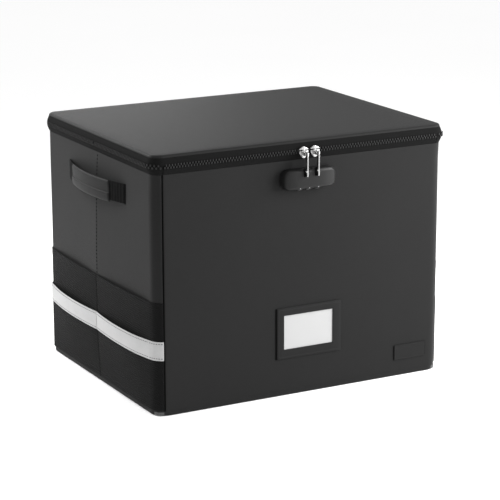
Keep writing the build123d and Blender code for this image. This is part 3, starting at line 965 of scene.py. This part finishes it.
nylon = grained("black_nylon", 0.6, 3, (0.010, 0.018), 0.46, 0.12, 0.03 * mm, Specular_IOR_Level=0.22)
zip_cloth = plain_tape("zip_cloth", 0.0072, 0.8)
low_tooth_z = zip_z + tooth_past - tooth_height / 2
for half, (middle, way) in HALVES.items():
    half_cloth(
        half, "zip_tape", "zip", zip_cloth, tape_cloth,
        (middle_gap, tape_reach), (wall_high, tape_high), half_tape_grid,
        lambda along, up: tape_curve(up) - rolled(tape_reach - abs(along - middle), tape_roll),
    )
    rear = half.endswith("rear")
    rows = [(f"{half}_low_teeth", 0, straight if rear else corner_start, press_flat)]
    if not rear:
        rows.append((f"{half}_corner_low_teeth", corner_start, side_reach, follow_half))
    for name, near, far, follow in rows:
        first, last = sorted((middle + way * near, middle + way * far))
        ends_here = rear or (far == side_reach if way > 0 else near == 0)
        last -= tooth_width if ends_here else 0.01 * mm
        row_piece = teeth_row(name, first, last, low_tooth_z, (middle + tooth_start - first) % tooth_pitch)
        follow(row_piece, half)

for name, node, middle, body in (
    ("front", "front_zip", front_middle, "front"), ("back", "back_band", back_middle, "case"),
):
    tape = cut_cloth(middle - tape_end, middle + tape_end, wall_high, tape_high, *end_tape_grid)
    lift(tape, lambda along, up: tape_curve(up) - rolled(tape_end - abs(along - middle), tape_roll))
    settle(hung(f"{name}_zip_tape", tape, tape_cloth, zip_cloth), body, node)
front_row_start = front_middle - end_reach + 0.4 * mm
front_teeth = teeth_row("front_low_teeth", front_row_start, front_middle + end_reach - 0.8 * mm,
                        low_tooth_z, front_row_shift)
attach(front_teeth, "front")


# Lid
# A board in a cover of the outer cloth with rounded edges, lined underneath. The upper zip tape is sewn
# right round its rim, with its row of teeth on the two sides and the front.
lid_low = 331 * mm
lid_high = 335 * mm
lid_overhang = 0.5 * mm
lid_round = 3.3 * mm
lid_cloth = 0.8 * mm
lid_inset = 1.0 * mm
lid_crown = 0.5 * mm
lid_steps = 12
crown_spread = 2.2
ring_grid = (740, 10)
high_tooth_z = zip_z - tooth_past + tooth_height / 2

cover = rounded_slab(lid_low, lid_high - lid_crown, lid_overhang)
round_over(cover, edges_where(cover, lambda co: co.z > lid_high - lid_crown - 0.01 * mm), lid_round, 6)
under = faces_where(cover, lambda at: at.z < lid_low + 0.01 * mm)
bmesh.ops.delete(cover, geom=under, context="FACES")
for half, way in ((half_width, Vector((1, 0, 0))), (half_depth, Vector((0, 1, 0)))):
    for step in range(1 - lid_steps, lid_steps):
        cut_across(cover, way * (half * step / lid_steps), way)
lay_flat(cover)
for point in cover.verts:
    across = 1 - (point.co.x / half_width) ** 2
    along = 1 - (point.co.y / half_depth) ** 2
    if point.co.z > lid_high - lid_crown - 0.05 * mm:
        point.co.z += lid_crown * min(max(across, 0) * max(along, 0) * crown_spread, 1) ** 0.5
lid_piece = make_piece("lid_cover_cloth", cover, box_cloth)
thicken(lid_piece, lid_cloth)
settle(lid_piece, "lid", "lid_cover")

lining = rounded_slab(lid_low - 0.1 * mm, lid_low + 0.5 * mm, lid_overhang - lid_inset)
round_over(lining, edges_where(lining, lambda co: co.z < lid_low), 0.3 * mm, 2)
lay_flat(lining)
settle(make_piece("lid_lining_cloth", lining, wall_lining), "lid", "lid_lining")

ring = cut_cloth(0, 4 * quarter, zip_z + 0.15 * mm, lid_low + 0.3 * mm, *ring_grid, closer=False)
band_height = lid_low - zip_z
lift(ring, lambda along, up: lid_overhang
     + (tape_lean - lid_overhang) * sin(min(max((lid_low - up) / band_height, 0), 1) * pi / 2))
chalk(ring)
hang(ring)
bmesh.ops.remove_doubles(ring, verts=ring.verts[:], dist=0.01 * mm)
ring_piece = make_piece("lid_zip_tape", ring, zip_cloth)
thicken(ring_piece, tape_cloth)
settle(ring_piece, "lid", "lid_band")

half_pitch = tooth_pitch / 2
for half, (middle, way) in HALVES.items():
    toothed = straight if half.endswith("rear") else side_reach
    first, last = sorted((middle, middle + way * toothed))
    shift = (middle + tooth_start + half_pitch - first) % tooth_pitch
    row_piece = teeth_row(f"{half}_high_teeth", first, last - tooth_width, high_tooth_z, shift)
    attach(row_piece, "lid")
front_row = teeth_row("front_high_teeth", front_row_start, front_middle + end_reach - 1.5 * mm,
                      high_tooth_z, front_row_shift + half_pitch)
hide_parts("lid_zip_coil")
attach(front_row, "lid")


# Lid hinge
# A strip of the band's cloth is sewn across the back, half on the case and half on the lid.
hinge_out = 4.75 * mm
hinge_half = 6 * mm
hinge_cloth = 0.75 * mm
hinge_grid = (40, 16)
hinge = cut_cloth(back_middle - end_half, back_middle + end_half, zip_z - hinge_half, zip_z + hinge_half, *hinge_grid)
lift(hinge, lambda along, up: hinge_out - rolled(hinge_half - abs(up - zip_z), 0.5 * mm))
hinge_piece = hung("hinge_strip_cloth", hinge, hinge_cloth, zip_cloth)
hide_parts("hinge_strip")
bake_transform(hinge_piece)


# Zip sliders and pull tabs
# Two cast and nickel-plated sliders, each a roof over the teeth and a pointed plate with two ears. A flat
# stamped tab hangs from a pin between the ears.
slider_x = {"left": -4.2 * mm, "right": 12.0 * mm}
slider_half = 6.4 * mm
face_y = -half_depth
pivot_y = -178.6 * mm
pivot_z = 319 * mm
tab_thickness = 1.9 * mm
tab_depth = 4 * mm
tab_length = 29 * mm
tab_y = -181.3 * mm
eye_radius = 2.6 * mm
roof_low, roof_high, roof_rise = 323.3 * mm, 324.3 * mm, 2.9 * mm
roof_back, roof_front = face_y - 3.4 * mm, face_y - 7.8 * mm
plate_low, plate_high, nose_drop = 319.2 * mm, 321.9 * mm, -6.4 * mm
plate_back, plate_face = face_y - 6.4 * mm, face_y - 8.1 * mm
neck_half = 2.0 * mm
ear_out = 1.95 * mm
ear_thickness = 1.3 * mm
ear_half = 2.25 * mm
ear_radius = 2.3 * mm
pin_radius = 0.8 * mm
pin_length = 5.6 * mm
cast_round = 0.42 * mm
tab_corner = 1.3 * mm
tab_round = 0.18 * mm
hole_radius = 1.2 * mm
hole_up = 6.6 * mm


def nickel(name):
    """Bright nickel plate with faint polishing marks and cloudy fingering."""
    material, place = start_finish(name, "Object")
    stretched = place.node("Mapping", {}, {"Vector": place, "Scale": (3.0, 3.0, 0.3)})
    marks = mottle(stretched, 0.8, 4)
    cloud = mottle(place, 5, 2)
    return set_shader(
        material, Base_Color=shade(cloud, grey(0.34, 0.004), grey(0.50, 0.004)), Metallic=1.0,
        Roughness=0.16 + marks * 0.16, Normal=raised(marks, 0.01 * mm),
    )


def draw_out(shape, faces, taper, middle, way):
    """Extrudes a face along Z, narrowed about a point."""
    end = bmesh.ops.extrude_discrete_faces(shape, faces=faces)["faces"][0]
    bmesh.ops.scale(shape, vec=taper, space=Matrix.Translation(-middle), verts=end.verts)
    bmesh.ops.translate(shape, vec=(0, 0, way), verts=end.verts)


def pin(shape, x, radius, length, segments):
    """Adds a round bar along X through the pull tabs' pivot."""
    bmesh.ops.create_cone(
        shape, cap_ends=True, segments=segments, radius1=radius, radius2=radius, depth=length,
        matrix=Matrix.Translation((x, pivot_y, pivot_z)) @ Matrix.Rotation(pi / 2, 4, "Y"),
    )


bright_nickel = nickel("bright_nickel")
for side, x in slider_x.items():
    slider = bmesh.new()
    cuboid(slider, (x - slider_half, roof_front, roof_low), (x + slider_half, roof_back, roof_high))
    roof_top = faces_where(slider, lambda at: at.z > roof_high - 0.1 * mm)
    draw_out(slider, roof_top, (0.2, 0.8, 1), Vector((x, (roof_front + roof_back) / 2, 0)), roof_rise)
    cuboid(slider, (x - slider_half, plate_face, plate_low), (x + slider_half, plate_back, plate_high))
    foot = faces_where(slider, lambda at: abs(at.z - plate_low) < 0.01 * mm)
    draw_out(slider, foot, (0.26, 1, 1), Vector((x, 0, 0)), nose_drop)
    cuboid(slider, (x - neck_half, face_y - 7.6 * mm, 321 * mm), (x + neck_half, face_y - 6.5 * mm, 324 * mm))
    slider.normal_update()
    round_over(slider, slider.edges[:], cast_round, 3)
    for ear in (x - ear_out, x + ear_out):
        pin(slider, ear, ear_radius, ear_thickness, 28)
        cuboid(slider, (ear - ear_thickness / 2, pivot_y, pivot_z - ear_half),
               (ear + ear_thickness / 2, plate_face + 0.4 * mm, pivot_z + ear_half))
    pin(slider, x, pin_radius, pin_length, 20)
    face_out(slider)
    lay_flat(slider)
    slider_piece = make_piece(f"{side}_zip_slider", slider, bright_nickel, sharp=50)
    settle(slider_piece, f"{side}_slider", f"{side}_slider")

    tab = bmesh.new()
    size = Vector((tab_depth, tab_length + eye_radius))
    bmesh.ops.create_grid(tab, x_segments=1, y_segments=1, size=0.5, matrix=Matrix.Diagonal((*size, 1, 1)))
    bmesh.ops.translate(tab, vec=(tab_y, pivot_z + eye_radius - size.y / 2, 0), verts=tab.verts)
    bmesh.ops.bevel(
        tab, geom=tab.verts[:], offset=tab_corner, segments=5, profile=0.5, affect="VERTICES", material=-1,
    )
    bmesh.ops.delete(tab, geom=tab.faces[:], context="FACES_ONLY")
    bmesh.ops.create_circle(
        tab, cap_ends=False, segments=24, radius=hole_radius,
        matrix=Matrix.Translation((tab_y, pivot_z - tab_length + hole_up, 0)),
    )
    bmesh.ops.triangle_fill(tab, edges=tab.edges[:], use_beauty=True)
    blank = bmesh.ops.extrude_face_region(tab, geom=tab.faces[:])["geom"]
    raised_points = [part for part in blank if isinstance(part, bmesh.types.BMVert)]
    bmesh.ops.translate(tab, vec=(0, 0, tab_thickness), verts=raised_points)
    face_out(tab)
    for point in tab.verts:
        point.co = (x - tab_thickness / 2 + point.co.z, point.co.x, point.co.y)
    pin(tab, x, eye_radius, tab_thickness, 28)
    tab.normal_update()
    sharp_edges = [edge for edge in tab.edges if edge.calc_face_angle(0) > 1.2]
    round_over(tab, sharp_edges, tab_round, 2)
    lay_flat(tab)
    tab_piece = make_piece(f"{side}_pull", tab, bright_nickel, sharp=50)
    settle(tab_piece, f"{side}_pull", f"{side}_pull_tab")


# Combination lock
# A moulded case screwed through the front wall to a plate inside. It holds three number wheels on a
# spindle, a leaf spring that clicks them, and a sliding bar whose hooks catch the tabs.
wheel_y = -171.6 * mm
wheel_z = 276.7 * mm
wheel_radius = 5.2 * mm
wheel_pitch = 13.15 * mm
wheel_middle = 1.95 * mm
wheel_numbers = 10
number_size = 2.7 * mm
number_proud = 0.04 * mm
dot_radius = 0.62 * mm
dot_y = -176.75 * mm
dot_z = 274.75 * mm
lock_middle = 3.3
lock_half = 38


def moulded_plastic(name, tone, shine=0.42, crown=0.0):
    """Moulded plastic with a fine spark-eroded grain. A crown in millimetres rounds the face towards its ends."""
    material, place = start_finish(name, "Object")
    grain = mottle(place, 0.35, 3)
    cloud = mottle(place, 14, 2)
    end = abs((axes_of(place)[0] - lock_middle) * (1 / lock_half)) ** 4
    return set_shader(
        material, Base_Color=shade(grain * 0.5 + cloud * 0.5, grey(tone * 0.85), grey(tone * 1.15)),
        Roughness=shine + grain * 0.10, Specular_IOR_Level=0.2, Normal=raised(grain * 0.035 - end * crown, mm),
    )


lock_plastic = moulded_plastic("lock_plastic", 0.009, 0.36, 5.2)
wheel_plastic = moulded_plastic("wheel_plastic", 0.012, 0.34)
dull_steel = grained("dull_steel", 0.7, 4, (0.55 * 0.85, 0.55), 0.30, 0.18, 0.015 * mm, Metallic=1.0)
number_white = moulded_plastic("number_white", 0.72, 0.5)
# The wheels' numbers are a dim white, darker than the index dots.
dimmed_white = moulded_plastic("dimmed_white", 0.30, 0.5)
dress(lock_plastic, "lock_housing", "release_button")
dress(wheel_plastic, "number_wheel_1", "number_wheel_2", "number_wheel_3")
dress(dull_steel, "lock_back_plate", "lock_screws", "dial_spindle", "detent_leaf", "latch_bar")

for wheel in range(3):
    x = wheel_middle + wheel_pitch * (wheel - 1)
    numbers = bmesh.new()
    for number in range(wheel_numbers):
        text = bpy.data.curves.new("number", "FONT")
        text.body = str(number)
        text.size = number_size
        text.align_x = text.align_y = "CENTER"
        text.extrude = number_proud
        text.resolution_u = 3
        holder = bpy.data.objects.new("number", text)
        flat = bpy.data.meshes.new_from_object(holder)
        turn = 2 * pi * (number + 0.5) / wheel_numbers
        place = (
            Matrix.Translation((x, wheel_y, wheel_z)) @ Matrix.Rotation(turn, 4, "X")
            @ Matrix.Translation((0, -wheel_radius, 0)) @ Matrix.Rotation(pi / 2, 4, "X")
        )
        flat.transform(place)
        numbers.from_mesh(flat)
        bpy.data.objects.remove(holder)
        bpy.data.curves.remove(text)
        bpy.data.meshes.remove(flat)
    settle(make_piece(f"wheel_{wheel + 1}_numbers", numbers, dimmed_white), f"dial_{wheel + 1}")

dots = bmesh.new()
for wheel in range(3):
    x = wheel_middle + wheel_pitch * (wheel - 1)
    bmesh.ops.create_uvsphere(
        dots, u_segments=18, v_segments=10, radius=dot_radius, matrix=Matrix.Translation((x, dot_y, dot_z)),
    )
settle(make_piece("index_dots", dots, number_white), "front")


# Label holder
# A flat frame of the outer cloth, stitched to the front wall all round, with a plain card behind its window.
# A black strip along its left edge is painted shadow, cast to the left of the frame. The card is left bare.
label_low = Vector((-38.5 * mm, 50 * mm))
label_high = Vector((56 * mm, 118 * mm))
window_low = Vector((-28.4 * mm, 62.3 * mm))
window_high = Vector((43.6 * mm, 107.6 * mm))
label_thick = 1.6 * mm
label_inset = Vector((2.6 * mm, 2.6 * mm))
label_pitch = 2.6 * mm
label_round = 0.45 * mm


def on_front(shape):
    """Stands a shape drawn flat, with Y up and Z out, against the front wall."""
    for point in shape.verts:
        point.co = (point.co.x, -half_depth - point.co.z, point.co.y)


def paper(name):
    """White card stock."""
    material, place = start_finish(name, "Object")
    fibre = mottle(place, 0.5, 4)
    cloud = mottle(place, 20, 2)
    return set_shader(
        material, Base_Color=shade(fibre * 0.5 + cloud * 0.5, grey(0.385), grey(0.42)), Roughness=0.55,
        Specular_IOR_Level=0.35, Normal=raised(fibre, 0.02 * mm),
    )


frame_shape = bmesh.new()
cuboid(frame_shape, (*label_low, 0), (*label_high, label_thick))
for axis, way in enumerate((Vector((1, 0, 0)), Vector((0, 1, 0)))):
    for corner in (window_low, window_high):
        cut_across(frame_shape, way * corner[axis], way)
pane = faces_where(
    frame_shape, lambda at: all(window_low[axis] < at[axis] < window_high[axis] for axis in (0, 1)),
)
bmesh.ops.delete(frame_shape, geom=pane, context="FACES")
rim = [edge for edge in frame_shape.edges if edge.is_boundary]
bmesh.ops.bridge_loops(frame_shape, edges=rim)
outer_rim = [
    edge for edge in frame_shape.edges
    if len(edge.link_faces) == 2 and edge.calc_face_angle(0) > 1 and max(point.co.z for point in edge.verts) > 1 * mm
]
round_over(frame_shape, outer_rim, label_round, 3)
face_out(frame_shape)
lay_flat(frame_shape)
on_front(frame_shape)
face_out(frame_shape)
settle(make_piece("label_holder", frame_shape, box_cloth), "front", "label_frame")

label_threads = bmesh.new()
low, high = label_low + label_inset, label_high - label_inset
corners = [(low.x, high.y), (low.x, low.y), (high.x, low.y), (high.x, high.y)]
for start, end in zip(corners, corners[1:] + corners[:1]):
    sew(label_threads, start, end, label_pitch, 0.7, 0.42 * mm, 0.16 * mm)
bmesh.ops.translate(label_threads, vec=(0, 0, label_thick), verts=label_threads.verts[:])
on_front(label_threads)
frame_thread = sewing_thread("frame_thread", 0.045)
settle(make_piece("label_holder_stitches", label_threads, frame_thread), "front")


def bound_edge(name, low, high, width):
    """A narrow black strip along the left edge of a piece on the front wall: painted shadow, cast to the left of the
    piece.
    """
    shade_strip = bmesh.new()
    cuboid(shade_strip, (low.x - width, low.y, 0), (low.x + 0.2 * mm, high.y, 1.0 * mm))
    round_over(shade_strip, shade_strip.edges[:], 0.3 * mm, 2)
    on_front(shade_strip)
    face_out(shade_strip)
    settle(make_piece(name, shade_strip, black_thread_and_painted_shade), "front")


bound_edge("label_painted_shadow", label_low, label_high, 1.8 * mm)
dress(paper("white_card"), "label_card")


# Patch
# A small padded patch of the outer cloth, sewn low on the front wall with its edge folded under. It is left
# bare.
patch_low = Vector((139.5 * mm, 22.5 * mm))
patch_high = Vector((188.5 * mm, 42.5 * mm))
patch_thick = 1.2 * mm
patch_round = 1.2 * mm
patch_hem = 1.1 * mm
hem_slope = 0.25 * mm
hem_sink = -0.22 * mm
patch = bmesh.new()
cuboid(patch, (*patch_low, 0), (*patch_high, patch_thick))
round_over(patch, upright_edges(patch), patch_round, 4)
patch_face = faces_where(patch, lambda at: at.z > patch_thick - 0.01 * mm)
bmesh.ops.inset_region(patch, faces=patch_face, thickness=patch_hem)
bmesh.ops.inset_region(patch, faces=patch_face, thickness=hem_slope, depth=hem_sink)
lay_flat(patch)
on_front(patch)
face_out(patch)
settle(make_piece("front_patch_cloth", patch, box_cloth), "front", "front_patch")
# A black strip along the patch's left edge: painted shadow, cast to the left of the patch.
bound_edge("patch_painted_shadow", patch_low, patch_high, 0.9 * mm)


# Studio
# A plain pale floor, three soft lights, one at the left rear, one at the back and one in front on the right,
# and a camera at the photograph's viewing angle. The surroundings are dimmed towards the right rear.
floor = bmesh.new()
bmesh.ops.create_grid(floor, x_segments=1, y_segments=1, size=6)
floor_material, floor_place = start_finish("studio_floor", "Object")
floor_cloud = mottle(floor_place, 400, 1)
set_shader(
    floor_material, Base_Color=shade(floor_cloud, grey(0.95), grey(0.97)), Roughness=0.9,
    Specular_IOR_Level=0.1, Emission_Color=(1, 1, 1, 1), Emission_Strength=0.14,
)
floor_piece = make_piece("studio_floor", floor, floor_material)


def soft_light(name, place, aim, size, power):
    """A large rectangular light, pointed at a place."""
    light = bpy.data.lights.new(name, "AREA")
    light.shape = "RECTANGLE"
    light.size, light.size_y = size
    light.energy = power
    lamp = bpy.data.objects.new(name, light)
    lamp.location = place
    lamp.rotation_euler = (Vector(aim) - Vector(place)).to_track_quat("-Z", "Y").to_euler()
    bpy.context.collection.objects.link(lamp)


soft_light("left_rear_softbox", (-0.50, 0.46, 0.62), (-0.1, 0.1, 0.25), (0.4, 0.4), 5.0)
soft_light("back_softbox", (0.1, 1.1, 0.66), (0, 0, 0.33), (0.8, 0.4), 3.2)
soft_light("right_front_softbox", (0.74, -0.58, 0.56), (0.2, -0.1, 0.25), (0.7, 0.7), 16)

dark_corner = 55
world = bpy.data.worlds.new("studio")
world.use_nodes = True
backdrop = world.node_tree.nodes["Background"]
backdrop.inputs["Strength"].default_value = 0.92
room = Dye(world.node_tree, world.node_tree.nodes.new("ShaderNodeTexCoord").outputs["Generated"])
towards = axes_of(room.node("Mapping", {}, {"Vector": room, "Rotation": (0, 0, radians(-dark_corner))}))[0]
dimming = towards.node("MapRange", {}, {"Value": towards, "From Min": 0.55, "From Max": 0.95})
world.node_tree.links.new(shade(dimming, (1, 1, 1), grey(0.22)).socket, backdrop.inputs["Color"])
bpy.context.scene.world = world
bpy.context.scene.view_settings.view_transform = "Standard"

lens = bpy.data.cameras.new("camera")
lens.lens = 147.8
lens.sensor_width = 36
camera = bpy.data.objects.new("camera", lens)
camera.location = (-1.2634, -2.3602, 0.8536)
camera.rotation_euler = (radians(90 - 14.66), radians(0.135), radians(-28.42))
bpy.context.collection.objects.link(camera)
bpy.context.scene.camera = camera
